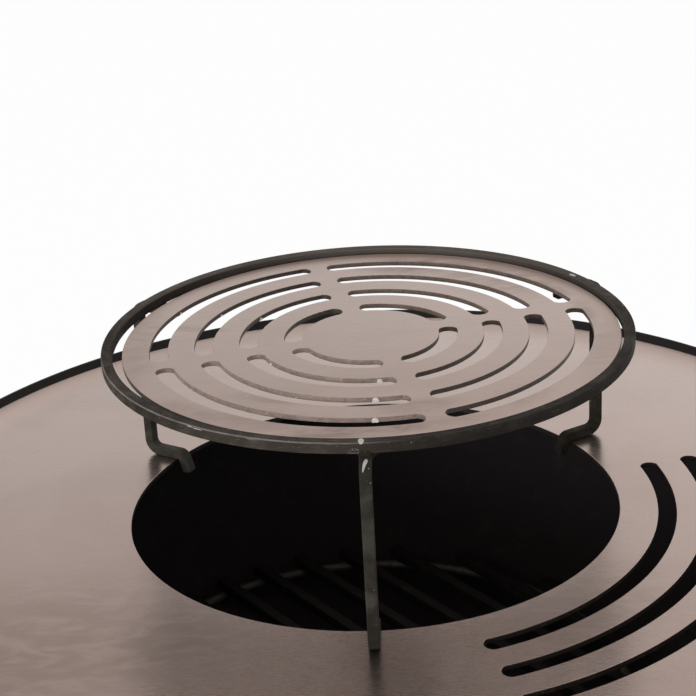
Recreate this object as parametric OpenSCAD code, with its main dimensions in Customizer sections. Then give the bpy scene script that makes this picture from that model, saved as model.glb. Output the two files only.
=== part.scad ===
// A round fire-bowl charcoal grill: a griddle plate with a fire hole, a grill stand with a slotted grate disc,
// a dished bowl with a charcoal grate, an ash chute with a damper and a pan, and a base with four legs.

/* [Grill stand] */
// Outer radius of the stand's ring
ring_r = 246; // [200:0.5:260]
// Side of the square bar that the ring and the legs are made of
bar = 10; // [8:1:14]
// Height of the ring's top face above the griddle plate
stand_h = 179.5; // [120:0.5:260]
// Gap between the ring's outer face and the standing part of a leg
leg_out = 18.5; // [8:0.5:30]
// Length of a leg's tab inside the ring, under the grate disc
tab_reach = 17; // [10:1:30]
// Inside radius of the bends at a leg's top and bottom
bend_r = 6; // [3:0.5:12]
// How far a leg's hook reaches below the top of the griddle plate
hook_drop = 15.5; // [10:0.5:40]
// Play between a hook and the edge of the fire hole
hook_play = 2; // [1:0.5:6]
// Direction of the right leg's even place, in degrees from the grill's right side
leg_turn = 27.8; // [0:0.1:60]
// How far the right leg was welded off its even place, in degrees
right_leg_off = 1.9; // [-5:0.1:5]
// How far the stand sits off the hole's centre, to the right
stand_shift = 1; // [0:0.1:1.5]
// Leg length of the weld beads under the ring
bead = 5; // [3:0.5:7]

/* [Grate disc] */
// Play all round between the disc and the stand's ring
disc_play = 5.5; // [3:0.5:9]
// Thickness of the disc
disc_t = 4.5; // [4:0.5:9]
// How far the disc lies off the ring's centre, as a share of its play
disc_off = 0.67; // [0:0.01:0.9]
// Direction in which the disc lies off the ring's centre, in degrees from the grill's right side
disc_off_turn = 27; // [0:1:90]
// Rings of slots in the disc
disc_rows = 4; // [2:1:4]
// Radius of the middle line of the first ring of slots
disc_first = 72.2; // [50:0.1:80]
// Step from one ring of slots to the next
disc_pitch = 41.6; // [30:0.1:42]
// Width of a slot in the disc
disc_slot = 17.2; // [10:0.1:22]
// Width of the ribs between the slots' ends
disc_rib = 17.5; // [10:0.1:24]
// Direction of the first rib, in degrees from the grill's right side
slot_turn = 14; // [0:0.5:44]

/* [Griddle plate] */
// Radius of the plate inside its rim
plate_r = 497; // [460:1:600]
// Thickness of the plate
plate_t = 5; // [4:0.5:12]
// Radius of the fire hole
hole_r = 234.5; // [215:0.5:250]
// Height of the plate's top face above the ground
plate_z = 900; // [880:5:1000]
// Thickness of the rim
rim_t = 3; // [2:0.5:6]
// Height of the rim above the plate's top face
rim_up = 10; // [5:0.5:20]
// Arc slots in the plate, from the hole outwards
arc_rows = 3; // [1:1:3]
// Radius of the middle line of the first arc slot
arc_first = 278.7; // [270:0.1:290]
// Step from one arc slot to the next
arc_pitch = 42.8; // [30:0.1:44]
// Width of an arc slot
arc_slot = 17.1; // [10:0.1:22]
// Distance from the quarter's straight edges to the end of an arc slot
arc_margin = 13.8; // [8:0.1:30]
// Length of the centring lugs under the plate
lug_l = 30; // [20:1:50]
// Thickness of the centring lugs
lug_t = 8; // [5:1:12]
// Height of the centring lugs
lug_h = 15; // [8:1:25]
// Play between the lugs and the bowl
lug_play = 3; // [1:0.5:6]

/* [Fire bowl] */
// Inner radius of the bowl at its mouth
bowl_r = 410; // [395:1:430]
// Depth of the bowl inside
bowl_depth = 330; // [310:1:360]
// Wall of the bowl
bowl_wall = 3; // [2:0.5:5]
// Width of the flat flange on the mouth
flange_w = 30; // [20:1:45]
// Thickness of the flange
flange_t = 5; // [3:0.5:8]
// Diameter of the rod of the side handles
handle_d = 12; // [8:1:16]
// Distance between the two ends of a side handle
handle_span = 120; // [90:1:160]
// How far a side handle stands out from the bowl
handle_out = 60; // [45:1:70]
// Bend radius of a side handle
handle_bend = 22; // [15:1:30]
// Depth of the side handles below the flange
handle_down = 90; // [60:1:130]

/* [Charcoal grate] */
// Diameter of the ring's rod
grate_rod = 10; // [6:1:14]
// Gap between the ring's outside and the bowl, where the grate lies centred
grate_play = 28.8; // [24:0.1:45]
// Side of the grate's square bars
grate_bar = 12; // [8:1:16]
// Step from bar to bar
grate_pitch = 47.5; // [30:0.5:60]
// How far the bars reach past the ring's middle line
grate_over = 13; // [8:1:18]
// Depth of the rod ring's middle line below the plate's top face
grate_down = 214; // [180:1:230]
// Direction of the bars, in degrees from the grill's right side
grate_turn = -54; // [-90:1:90]
// How far the grate lies to the left of the bowl's centre
grate_left = 14.5; // [0:0.5:15]
// How far the grate lies to the front of the bowl's centre
grate_front = 1; // [0:0.5:4]
// Width of the ledges that carry the grate
ledge_w = 40; // [25:1:60]
// Thickness of the ledges
ledge_t = 5; // [3:0.5:8]
// How far the ledges reach in past the ring's middle line
ledge_in = 24; // [20:1:40]

/* [Ash chute and damper] */
// Inner radius of the chute
chute_r = 67; // [55:1:80]
// Wall of the chute
chute_wall = 3; // [2:0.5:5]
// Length of the chute below the bowl's lowest point
chute_drop = 59; // [50:1:80]
// Thickness of the plate under the chute
chute_plate_t = 4; // [3:0.5:6]
// Depth of the spindle's middle line below the bowl's lowest point
spindle_down = 5; // [4:1:20]
// Diameter of the spindle
spindle_d = 10; // [8:1:14]
// Running clearance of the spindle in the chute, on the radius
spindle_fit = 0.05; // [0.02:0.01:0.08]
// Play between the damper disc and the chute
damper_play = 1.5; // [1:0.1:3]
// Thickness of the damper disc
damper_t = 3; // [2:0.5:5]
// Distance of the lever from the chute's middle
lever_x = 160; // [150:1:180]
// Length of the lever from the spindle to the knob
lever_l = 80; // [60:1:110]
// Width of the lever
lever_w = 18; // [16:1:26]
// Thickness of the lever
lever_t = 4; // [3:0.5:6]
// Radius of the ball knob
knob_r = 12; // [9:0.5:16]
// Length of the knob's neck
knob_neck = 9; // [5:1:14]
// Diameter of the screws that hold the damper disc
screw_d = 5; // [4:0.5:6]

/* [Ash pan] */
// Width of the pan inside its side flanges
pan_w = 230; // [180:1:250]
// Length of the pan
pan_l = 230; // [180:1:260]
// Height of the pan
pan_h = 52; // [30:1:80]
// Sheet thickness of the pan and its rails
sheet = 2; // [1.5:0.5:3]
// Width of the pan's side flanges
pan_lip = 10; // [6:1:14]
// Gap between the pan's top and the chute's plate
pan_gap = 8; // [5:1:14]
// Diameter of the rod of the pan's handle
pull_d = 8; // [6:1:12]
// Width of the pan's handle
pull_span = 90; // [70:1:130]
// How far the pan's handle stands out
pull_out = 34; // [28:1:50]

/* [Base] */
// Inner radius of the cradle ring and the brace ring
cradle_r = 330; // [300:1:345]
// Thickness of the two rings
hoop_t = 8; // [5:1:12]
// Height of the two rings
hoop_h = 40; // [30:1:60]
// Height of the brace ring's lower edge above the ground
brace_z = 150; // [110:5:300]
// Outer side of the square leg tubes
tube = 40; // [30:1:50]
// Wall of the leg tubes
tube_wall = 3; // [2:0.5:4]
// Height of the tubes' lower ends above the ground
tube_z = 45; // [38:1:80]
// Thickness of the leg caps
cap_t = 3; // [2:0.5:5]
// Height of the plugs in the leg tubes
plug_h = 25; // [15:1:40]
// Diameter of the frame bolts
bolt_d = 10; // [8:1:12]
// Clearance of a bolt in its hole, on the radius
bolt_play = 0.25; // [0.1:0.05:0.5]
// Diameter of the levelling feet's studs
stud_d = 12; // [10:1:16]
// Turning clearance of a stud in its plug and nut, on the radius
stud_fit = 0.05; // [0.02:0.01:0.08]
// Diameter of a levelling foot's pad
pad_d = 50; // [40:1:70]
// Thickness of a levelling foot's pad
pad_t = 12; // [8:1:16]

/* [Hidden] */
$fn = 96;

mill_steel = [0.22, 0.21, 0.20];
ground_steel = [0.68, 0.62, 0.58];
black_paint = [0.07, 0.07, 0.07];
bright_steel = [0.62, 0.62, 0.62];

// Directions of the base legs and of the ledges that carry the charcoal grate
quarters = [45, 135, 225, 315];
// A little more than flush, for cuts that run past a face
past = 1;
// Gap at rest between pieces that come apart and meet on a curve
rest_gap = 0.3;
// Gap at rest under the disc and under the feet of the stand
seat_gap = 0.05;
// Radius of a slot's round end, as a share of the slot's width, over a half so that its corners show
slot_nose = 0.54;

plate_under = plate_z - plate_t;
mouth_z = plate_under - flange_t;
dish_r = (bowl_r * bowl_r + bowl_depth * bowl_depth) / (2 * bowl_depth);
dish_out_r = dish_r + bowl_wall;
dish_z = mouth_z - bowl_depth + dish_r;
// Inner radius of the bowl at a height, and height of its outer face at a radius
function bowl_inside(z) = sqrt(dish_r * dish_r - (dish_z - z) * (dish_z - z));
function bowl_outside_z(r) = dish_z - sqrt(dish_out_r * dish_out_r - r * r);

ring_z = plate_z + stand_h - bar;
leg_r = ring_r + leg_out + bar / 2;
tab_r = ring_r - bar - tab_reach;
hook_r = hole_r - hook_play;
disc_r = ring_r - bar - disc_play;

grate_z = plate_z - grate_down;
grate_r = bowl_inside(grate_z - grate_rod / 2) - grate_play - grate_rod / 2;
grate_end = grate_r + grate_over;
grate_side = floor((grate_end - grate_bar) / grate_pitch);

chute_z = bowl_outside_z(0) - chute_drop;
chute_out_r = chute_r + chute_wall;
spindle_z = bowl_outside_z(0) - spindle_down;
spindle_r = spindle_d / 2;
damper_r = chute_r - damper_play;
screw_x = damper_r / 2;

pan_top = chute_z - chute_plate_t - pan_gap;
// Side gap between the pan's flanges and the rails
rail_gap = 3;
rail_x = pan_w / 2 + pan_lip + rail_gap;
rail_z = pan_top - sheet - rest_gap;

cradle_z = bowl_outside_z(cradle_r) - rest_gap - hoop_h;
hoop_out_r = cradle_r + hoop_t;
tube_r = hoop_out_r + tube / 2;
tube_top = cradle_z + hoop_h - cap_t;
washer_t = 2;
washer_r = bolt_d;
head_h = 0.64 * bolt_d;
nut_h = 0.8 * bolt_d;
hex_r = 0.98 * bolt_d;
lock_h = 0.8 * stud_d;
lock_r = 0.98 * stud_d;

module pipe(outer, inner, h) {
    difference() {
        cylinder(r = outer, h = h);
        translate([0, 0, -past]) cylinder(r = inner, h = h + 2 * past);
    }
}

// A slot along the arc of a quarter, round at its ends, which stay a margin away from the quarter's straight edges
module arc_cut(r, w, turn, margin, h) {
    nose = slot_nose * w;
    off = asin((margin + nose) / r);
    intersection() {
        pipe(r + w / 2, r - w / 2, h);
        union() {
            rotate(turn + off) rotate_extrude(angle = 90 - 2 * off) translate([r - w, 0]) square([2 * w, h]);
            for (a = [turn + off, turn + 90 - off]) rotate(a) translate([r, 0, 0]) cylinder(r = nose, h = h);
        }
    }
}

module griddle_plate() {
    color(ground_steel) translate([0, 0, plate_under]) difference() {
        cylinder(r = plate_r, h = plate_t);
        translate([0, 0, -past]) {
            cylinder(r = hole_r, h = plate_t + 2 * past);
            for (i = [0 : arc_rows - 1])
                arc_cut(arc_first + i * arc_pitch, arc_slot, slot_turn - 90, arc_margin, plate_t + 2 * past);
        }
    }
}

module plate_rim() {
    color(black_paint) translate([0, 0, plate_under]) pipe(plate_r + rim_t, plate_r, plate_t + rim_up);
}

module plate_lugs() {
    face = bowl_inside(plate_under - lug_h) - lug_play;
    color(mill_steel) for (a = [60, 180, 300])
        rotate(a) translate([face - lug_t, -lug_l / 2, plate_under - lug_h]) cube([lug_t, lug_l, lug_h]);
}

module stand_ring() {
    color(mill_steel) translate([stand_shift, 0, ring_z]) pipe(ring_r, ring_r - bar, bar);
}

// A quarter bend of the bar round a point of the leg's plane, towards the side sx and the height sz
module bend(x, z, inner, sx, sz) {
    outer = inner + bar;
    translate([x, 0, z]) intersection() {
        translate([0, bar / 2, 0]) rotate([90, 0, 0]) pipe(outer, inner, bar);
        translate([sx * outer / 2, 0, sz * outer / 2]) cube([outer, bar, outer], center = true);
    }
}

// A leg in the plane of its direction: tab, standing bar, foot and hook
module stand_leg(angle) {
    pivot_x = leg_r - bar / 2 - bend_r;
    high = ring_z - bar - bend_r;
    foot_z = plate_z + seat_gap;
    low = foot_z + bar + bend_r;
    nip = hook_play / 2;
    hook_z = plate_z - hook_drop;
    color(mill_steel) translate([stand_shift, 0, 0]) rotate(angle) {
        translate([tab_r, -bar / 2, ring_z - bar]) cube([pivot_x - tab_r, bar, bar]);
        bend(pivot_x, high, bend_r, 1, 1);
        translate([leg_r - bar / 2, -bar / 2, low]) cube([bar, bar, high - low]);
        bend(pivot_x, low, bend_r, 1, -1);
        translate([hook_r + nip, -bar / 2, foot_z]) cube([pivot_x - hook_r - nip, bar, bar]);
        bend(hook_r + nip, foot_z - nip, nip, -1, 1);
        translate([hook_r - bar, -bar / 2, hook_z]) cube([bar, bar, foot_z - nip - hook_z]);
    }
}

right_angle = leg_turn + right_leg_off;
left_angle = leg_turn + 120;
front_angle = leg_turn + 240;

module stand_leg_right() { stand_leg(right_angle); }
module stand_leg_left() { stand_leg(left_angle); }
module stand_leg_front() { stand_leg(front_angle); }

module stand_welds() {
    color(mill_steel) translate([stand_shift, 0, ring_z])
        for (a = [right_angle, left_angle, front_angle], side = [0, 1])
            rotate(a) mirror([0, side, 0]) translate([ring_r - bar + past, bar / 2, 0])
                rotate([90, 0, 90]) linear_extrude(bar - 2 * past) polygon([[0, 0], [0, -bead], [bead, 0]]);
}

module grate_disc() {
    off = disc_off * disc_play;
    place = [stand_shift + off * cos(disc_off_turn), off * sin(disc_off_turn), ring_z + seat_gap];
    color(ground_steel) translate(place) difference() {
        cylinder(r = disc_r, h = disc_t);
        translate([0, 0, -past]) for (i = [0 : disc_rows - 1], q = [0 : 3])
            arc_cut(disc_first + i * disc_pitch, disc_slot, slot_turn + 90 * q, disc_rib / 2, disc_t + 2 * past);
    }
}

module charcoal_grate_ring() {
    color(mill_steel) translate([-grate_left, -grate_front, grate_z])
        rotate_extrude() translate([grate_r, 0]) circle(d = grate_rod, $fn = 24);
}

module charcoal_grate_bars() {
    color(mill_steel) translate([-grate_left, -grate_front, grate_z + grate_rod / 2]) rotate(grate_turn)
        for (i = [-grate_side : grate_side]) {
            half = sqrt(grate_end * grate_end - pow(i * grate_pitch, 2));
            translate([-half, i * grate_pitch - grate_bar / 2, 0]) cube([2 * half, grate_bar, grate_bar]);
        }
}

module fire_bowl() {
    color(black_paint) difference() {
        translate([0, 0, dish_z]) difference() {
            sphere(r = dish_out_r);
            sphere(r = dish_r);
        }
        translate([-bowl_r * 2, -bowl_r * 2, mouth_z]) cube([bowl_r * 4, bowl_r * 4, bowl_r * 4]);
        translate([0, 0, bowl_outside_z(0) - past]) cylinder(r = chute_r, h = bowl_depth / 2);
    }
}

module bowl_flange() {
    color(black_paint) translate([0, 0, mouth_z]) pipe(bowl_r + flange_w, bowl_r, flange_t);
}

// A bent rod handle: two ends along +x joined by a cross rod
module rod_pull(span, out, d, bend) {
    half = span / 2;
    for (side = [-1, 1]) {
        translate([0, side * half, 0]) rotate([0, 90, 0]) cylinder(d = d, h = out - bend);
        translate([out - bend, side * (half - bend), 0]) rotate(side > 0 ? 0 : -90)
            rotate_extrude(angle = 90) translate([bend, 0]) circle(d = d, $fn = 24);
    }
    translate([out, -half + bend, 0]) rotate([-90, 0, 0]) cylinder(d = d, h = span - 2 * bend);
}

handle_z = mouth_z - handle_down;

module bowl_handle(turn) {
    reach = bowl_inside(handle_z);
    inset = reach - sqrt(reach * reach - pow(handle_span / 2 + handle_d, 2));
    color(mill_steel) difference() {
        rotate(turn) translate([reach - inset, 0, handle_z])
            rod_pull(handle_span, handle_out + inset, handle_d, handle_bend);
        translate([0, 0, dish_z]) sphere(r = dish_out_r);
    }
}

module bowl_handle_right() { bowl_handle(0); }
module bowl_handle_left() { bowl_handle(180); }

module grate_ledges() {
    ledge_top = grate_z - grate_rod / 2 - rest_gap;
    start = grate_r - ledge_in;
    color(mill_steel) intersection() {
        for (a = quarters)
            rotate(a) translate([start, -ledge_w / 2, ledge_top - ledge_t]) cube([dish_r - start, ledge_w, ledge_t]);
        translate([0, 0, dish_z]) sphere(r = dish_r);
    }
}

module spindle_bore() {
    translate([-chute_out_r - past, 0, spindle_z]) rotate([0, 90, 0])
        cylinder(r = spindle_r + spindle_fit, h = 2 * (chute_out_r + past));
}

module ash_chute() {
    color(black_paint) difference() {
        translate([0, 0, chute_z]) pipe(chute_out_r, chute_r, bowl_outside_z(chute_out_r) - chute_z + past);
        translate([0, 0, dish_z]) sphere(r = dish_out_r);
        spindle_bore();
    }
}

module chute_plate() {
    wide = 2 * (rail_x + sheet);
    color(black_paint) translate([0, 0, chute_z - chute_plate_t]) difference() {
        translate([-wide / 2, -pan_l / 2, 0]) cube([wide, pan_l, chute_plate_t]);
        translate([0, 0, -past]) cylinder(r = chute_r, h = chute_plate_t + 2 * past);
    }
}

module damper_disc() {
    color(mill_steel) translate([0, 0, spindle_z + spindle_r]) difference() {
        cylinder(r = damper_r, h = damper_t);
        for (s = [-1, 1]) translate([s * screw_x, 0, -past]) cylinder(d = screw_d, h = damper_t + 2 * past);
    }
}

module damper_spindle() {
    start = chute_out_r + lever_t + spindle_d;
    color(bright_steel) difference() {
        translate([-start, 0, spindle_z]) rotate([0, 90, 0]) cylinder(r = spindle_r, h = start + lever_x + lever_t);
        for (s = [-1, 1]) translate([s * screw_x, 0, spindle_z]) cylinder(d = screw_d, h = spindle_d);
    }
}

module damper_screws() {
    color(bright_steel) for (s = [-1, 1]) translate([s * screw_x, 0, spindle_z]) {
        cylinder(d = screw_d, h = spindle_r + damper_t);
        translate([0, 0, spindle_r + damper_t]) cylinder(d = 1.8 * screw_d, h = 0.6 * screw_d);
    }
}

module damper_lever() {
    color(mill_steel) translate([lever_x, 0, spindle_z]) rotate([0, 90, 0]) difference() {
        union() {
            cylinder(d = lever_w, h = lever_t);
            translate([0, -lever_w / 2, 0]) cube([lever_l, lever_w, lever_t]);
            translate([lever_l, 0, 0]) cylinder(d = lever_w, h = lever_t);
        }
        translate([0, 0, -past]) cylinder(r = spindle_r, h = lever_t + 2 * past);
    }
}

module lever_knob() {
    color(black_paint) translate([lever_x + lever_t, 0, spindle_z - lever_l]) rotate([0, 90, 0]) {
        cylinder(d = knob_r, h = knob_neck + knob_r / 2);
        translate([0, 0, knob_neck + knob_r]) sphere(r = knob_r);
    }
}

// A rail beside the pan: web, ledge under the pan's flange, and a stop behind it
module pan_rail() {
    web = chute_z - chute_plate_t - (rail_z - sheet);
    color(mill_steel) {
        translate([rail_x, -pan_l / 2, rail_z - sheet]) cube([sheet, pan_l, web]);
        translate([rail_x - pan_lip, -pan_l / 2, rail_z - sheet]) cube([pan_lip, pan_l, sheet]);
        translate([rail_x - pan_lip, pan_l / 2 - sheet, rail_z]) cube([pan_lip, sheet, web - sheet]);
    }
}

module pan_rail_right() { pan_rail(); }
module pan_rail_left() { mirror([1, 0, 0]) pan_rail(); }

pan_back = pan_l / 2 - sheet - rest_gap;
pan_front = pan_back - pan_l + 2 * sheet;

module ash_pan() {
    deep = pan_back - pan_front;
    color(black_paint) translate([0, 0, pan_top - pan_h]) {
        difference() {
            translate([-pan_w / 2, pan_front, 0]) cube([pan_w, deep, pan_h]);
            translate([-pan_w / 2 + sheet, pan_front + sheet, sheet])
                cube([pan_w - 2 * sheet, deep - 2 * sheet, pan_h]);
        }
        for (side = [0, 1]) mirror([side, 0, 0])
            translate([pan_w / 2, pan_front, pan_h - sheet]) cube([pan_lip, deep, sheet]);
    }
}

module pan_handle() {
    color(bright_steel) translate([0, pan_front, pan_top - pan_h / 2]) rotate(-90)
        rod_pull(pull_span, pull_out, pull_d, 2 * pull_d);
}

module bolt_holes(z) {
    for (a = quarters)
        rotate(a) translate([0, 0, z + hoop_h / 2]) rotate([0, 90, 0])
            cylinder(r = bolt_d / 2 + bolt_play, h = hoop_out_r + tube + past);
}

module hoop(z) {
    color(black_paint) difference() {
        translate([0, 0, z]) pipe(hoop_out_r, cradle_r, hoop_h);
        bolt_holes(z);
    }
}

module cradle_ring() { hoop(cradle_z); }
module brace_ring() { hoop(brace_z); }

module base_leg(angle) {
    inner = tube - 2 * tube_wall;
    tall = tube_top - tube_z;
    color(black_paint) difference() {
        rotate(angle) translate([tube_r, 0, tube_z]) difference() {
            translate([-tube / 2, -tube / 2, 0]) cube([tube, tube, tall]);
            translate([-inner / 2, -inner / 2, -past]) cube([inner, inner, tall + 2 * past]);
        }
        bolt_holes(cradle_z);
        bolt_holes(brace_z);
    }
}

module base_leg_back_right() { base_leg(45); }
module base_leg_back_left() { base_leg(135); }
module base_leg_front_left() { base_leg(225); }
module base_leg_front_right() { base_leg(315); }

module leg_caps() {
    inner = tube - 2 * tube_wall;
    color(black_paint) for (a = quarters)
        rotate(a) translate([tube_r, 0, tube_top]) {
            translate([-tube / 2, -tube / 2, 0]) cube([tube, tube, cap_t]);
            translate([-inner / 2, -inner / 2, -2 * cap_t]) cube([inner, inner, 2 * cap_t]);
        }
}

module foot_plugs() {
    inner = tube - 2 * tube_wall;
    color(bright_steel) for (a = quarters)
        rotate(a) translate([tube_r, 0, tube_z]) difference() {
            translate([-inner / 2, -inner / 2, 0]) cube([inner, inner, plug_h]);
            translate([0, 0, -past]) cylinder(r = stud_d / 2 + stud_fit, h = plug_h + 2 * past);
        }
}

module lock_nuts() {
    color(bright_steel) for (a = quarters)
        rotate(a) translate([tube_r, 0, tube_z - lock_h]) difference() {
            cylinder(r = lock_r, h = lock_h, $fn = 6);
            translate([0, 0, -past]) cylinder(r = stud_d / 2 + stud_fit, h = lock_h + 2 * past);
        }
}

// Places children on each frame bolt's line, with z along it and its zero on the hoop's inner face
module on_bolts() {
    for (a = quarters, z = [cradle_z, brace_z])
        rotate(a) translate([cradle_r, 0, z + hoop_h / 2]) rotate([0, 90, 0]) children();
}

stack = hoop_t + tube;
// Depth of the hoop's round inner face under a washer's edge
hollow = cradle_r - sqrt(cradle_r * cradle_r - washer_r * washer_r);

module frame_bolts() {
    under = hollow + washer_t;
    color(bright_steel) on_bolts() {
        translate([0, 0, -under]) cylinder(d = bolt_d, h = under + stack + washer_t + nut_h + bolt_d / 5);
        translate([0, 0, -under - head_h]) cylinder(r = hex_r, h = head_h, $fn = 6);
    }
}

module frame_washers() {
    color(bright_steel) on_bolts() {
        translate([0, 0, -hollow - washer_t]) pipe(washer_r, bolt_d / 2 + bolt_play, washer_t);
        translate([0, 0, stack]) pipe(washer_r, bolt_d / 2 + bolt_play, washer_t);
    }
}

module frame_nuts() {
    color(bright_steel) on_bolts() translate([0, 0, stack + washer_t]) difference() {
        cylinder(r = hex_r, h = nut_h, $fn = 6);
        translate([0, 0, -past]) cylinder(d = bolt_d, h = nut_h + 2 * past);
    }
}

module levelling_foot(angle) {
    color(bright_steel) rotate(angle) translate([tube_r, 0, 0]) {
        cylinder(d = pad_d, h = pad_t * 0.6);
        translate([0, 0, pad_t * 0.6]) cylinder(d1 = pad_d, d2 = 1.5 * stud_d, h = pad_t * 0.4);
        cylinder(d = stud_d, h = tube_z + plug_h + stud_d / 2);
    }
}

module foot_back_right() { levelling_foot(45); }
module foot_back_left() { levelling_foot(135); }
module foot_front_left() { levelling_foot(225); }
module foot_front_right() { levelling_foot(315); }

griddle_plate();
plate_rim();
plate_lugs();
stand_ring();
stand_leg_right();
stand_leg_left();
stand_leg_front();
stand_welds();
grate_disc();
charcoal_grate_ring();
charcoal_grate_bars();
fire_bowl();
bowl_flange();
bowl_handle_right();
bowl_handle_left();
grate_ledges();
ash_chute();
chute_plate();
damper_disc();
damper_spindle();
damper_screws();
damper_lever();
lever_knob();
pan_rail_right();
pan_rail_left();
ash_pan();
pan_handle();
cradle_ring();
brace_ring();
base_leg_back_right();
base_leg_back_left();
base_leg_front_left();
base_leg_front_right();
leg_caps();
foot_plugs();
lock_nuts();
frame_bolts();
frame_washers();
frame_nuts();
foot_back_right();
foot_back_left();
foot_front_left();
foot_front_right();
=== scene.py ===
"""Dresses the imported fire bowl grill: ground and mill steel, black paint and a pale studio stage."""
import math

import bmesh
import bpy
from mathutils import Matrix, Vector


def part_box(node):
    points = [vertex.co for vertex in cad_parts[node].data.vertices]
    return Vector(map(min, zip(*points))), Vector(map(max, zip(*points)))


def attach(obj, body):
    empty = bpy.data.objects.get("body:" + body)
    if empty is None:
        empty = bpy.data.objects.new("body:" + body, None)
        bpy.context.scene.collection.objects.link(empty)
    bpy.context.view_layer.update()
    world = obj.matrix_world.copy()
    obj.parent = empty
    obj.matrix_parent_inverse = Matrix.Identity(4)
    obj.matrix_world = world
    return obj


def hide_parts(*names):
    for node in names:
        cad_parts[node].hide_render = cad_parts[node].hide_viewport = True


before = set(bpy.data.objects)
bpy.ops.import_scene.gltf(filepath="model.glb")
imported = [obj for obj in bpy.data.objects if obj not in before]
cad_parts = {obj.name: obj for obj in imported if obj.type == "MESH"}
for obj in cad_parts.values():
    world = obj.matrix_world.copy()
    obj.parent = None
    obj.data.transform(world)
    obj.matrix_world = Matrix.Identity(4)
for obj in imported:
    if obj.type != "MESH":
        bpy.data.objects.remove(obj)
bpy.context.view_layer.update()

bl_info = {
    "name": "Fire bowl grill",
    "version": (1, 0, 0),
    "blender": (4, 5, 0),
    "location": "3D Viewport > Sidebar > Grill",
    "description": "Builds the visible pieces of a fire bowl grill round its packed solids",
    "category": "Object",
}

MM = 0.001
MERGE = 1e-6
QUARTER = math.pi / 2
ORIGIN = Vector((0, 0, 0))

PLATE_LOW, PLATE_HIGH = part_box("griddle_plate")
RIM_LOW, RIM_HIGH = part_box("plate_rim")
RING_LOW, RING_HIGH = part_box("stand_ring")
DISC_LOW, DISC_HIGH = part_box("grate_disc")
ROD_LOW, ROD_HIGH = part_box("charcoal_grate_ring")
BARS_LOW, BARS_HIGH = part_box("charcoal_grate_bars")
BOWL_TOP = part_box("fire_bowl")[1].z
FLANGE_LOW, FLANGE_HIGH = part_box("bowl_flange")

PLATE_RADIUS = (PLATE_HIGH.x - PLATE_LOW.x) / 2
RING_MIDDLE = (RING_LOW + RING_HIGH) / 2
RING_RADIUS = (RING_HIGH.x - RING_LOW.x) / 2
BAR = RING_HIGH.z - RING_LOW.z
DISC_MIDDLE = (DISC_LOW + DISC_HIGH) / 2
DISC_RADIUS = (DISC_HIGH.x - DISC_LOW.x) / 2

# Steps round a full turn, and along the bowl's wall from its foot to its mouth
PLATE_STEPS = 288
FLANGE_STEPS = 240
RING_STEPS = 192
ROD_STEPS = 144
WALL_STEPS = 40
# Angles in degrees over which an edge stays sharp: on most pieces, cut sheets and the drop of weld
SHARP = 32
SHEET_SHARP = 15
DROP_SHARP = 80

# The stand's legs: direction in degrees, and finish
LEGS = {
    # The right leg's darker finish is painted shade, as the light falls from the front left
    "stand_leg_right": (29.7, "dark_leg_steel"),
    "stand_leg_left": (147.8, "leg_steel"),
    "stand_leg_front": (267.8, "leg_steel"),
}
# Welds of a leg under the ring in mm: side of the leg, width and height; then width and height in front
FLANK_WELDS = ((-1, 2.2, 5.0), (1, 8.0, 6.4))
FRONT_WELD = (4.0, 3.0)
# Painted highlight as a pale drop over the front leg's bend, in rows: degrees round the bend (before it,
# mm), then the place of its middle, half its width and its height in mm
DROP_ROWS = (
    (-3, 0.8, 1.3, 0.0), (0, 0.7, 2.0, 0.3), (7, 0.3, 2.1, 0.5), (16, -0.3, 1.85, 0.5),
    (25, -0.9, 1.45, 0.5), (34, -1.4, 1.1, 0.45), (40, -1.75, 0.75, 0.3), (44, -1.95, 0.3, 0.1),
)
# Heat stains as x, y, half length, half width (mm from the middle), direction (degrees) and strength
DISC_STAINS = (
    (62, 188, 62, 26, -12, 0.85), (125, 158, 62, 13, -38, 0.95), (172, 112, 42, 11, -52, 0.85),
    (206, 18, 40, 11, 88, 0.55), (-178, 44, 44, 7, -14, 0.5), (-22, -212, 74, 15, 3, 0.95),
    (-82, -138, 34, 8, -22, 0.4), (38, -168, 34, 16, 8, 0.45), (-150, -158, 46, 12, -42, 0.45),
    (140, 145, 75, 48, -45, 0.5), (-85, -188, 70, 22, -18, 0.4), (62, -205, 46, 16, 12, 0.4),
    (-220, -10, 120, 26, 88, 0.35), (216, -70, 80, 24, 78, 0.35), (120, -165, 46, 18, 40, 0.3),
)
# The plate's broad darker patches towards its front, given the same way
PLATE_STAINS = (
    (-330, -250, 200, 120, 8, 0.42), (170, -215, 90, 55, 30, 0.4), (-190, -240, 90, 70, 0, 0.45),
)
# Painted glints, near-white half rounds on the slots' walls where highlights fall: row of slots, side of the
# slot (-1 inner, 1 outer), direction and radius (mm)
GLINT_STUBS = (
    (1, -1, -87.6, 2.7), (2, -1, -90.3, 3.3), (3, -1, -90.8, 3.3),
    (3, 1, 153.3, 1.7), (2, 1, 150.8, 1.7), (1, 1, 148.2, 2.0), (1, -1, 209.1, 1.8),
)
# Bright marks on the ring: direction (degrees), radius and depth under its top, then half sizes along the
# radius, round the ring and upwards (mm)
RING_MARKS = (
    (-92.9, 242.2, 0.3, 4.6, 2.4, 1.9), (29.6, 239.5, 0.2, 2.0, 4.6, 1.0),
    (-128.1, 246.2, 1.2, 1.6, 3.2, 0.34), (-126.2, 246.2, 1.7, 1.6, 5.2, 0.36),
)
# Spatter on the ring beside the front weld, the same way
SPATTER = ((-94.4, 246.0, 7.6, 3.0, 5.2, 2.8),)

FLOOR_RADIUS = 14
SENSOR = 36
# Lamps as name, place, width in metres and power in watts; all point at the grill's top
LAMPS = (("Top lamp", (0.4, 0.6, 3.4), 2.6, 15), ("Front lamp", (-2.2, -2.9, 1.5), 1.4, 46))
LAMP_AIM = Vector((0, 0, 0.9))
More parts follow.
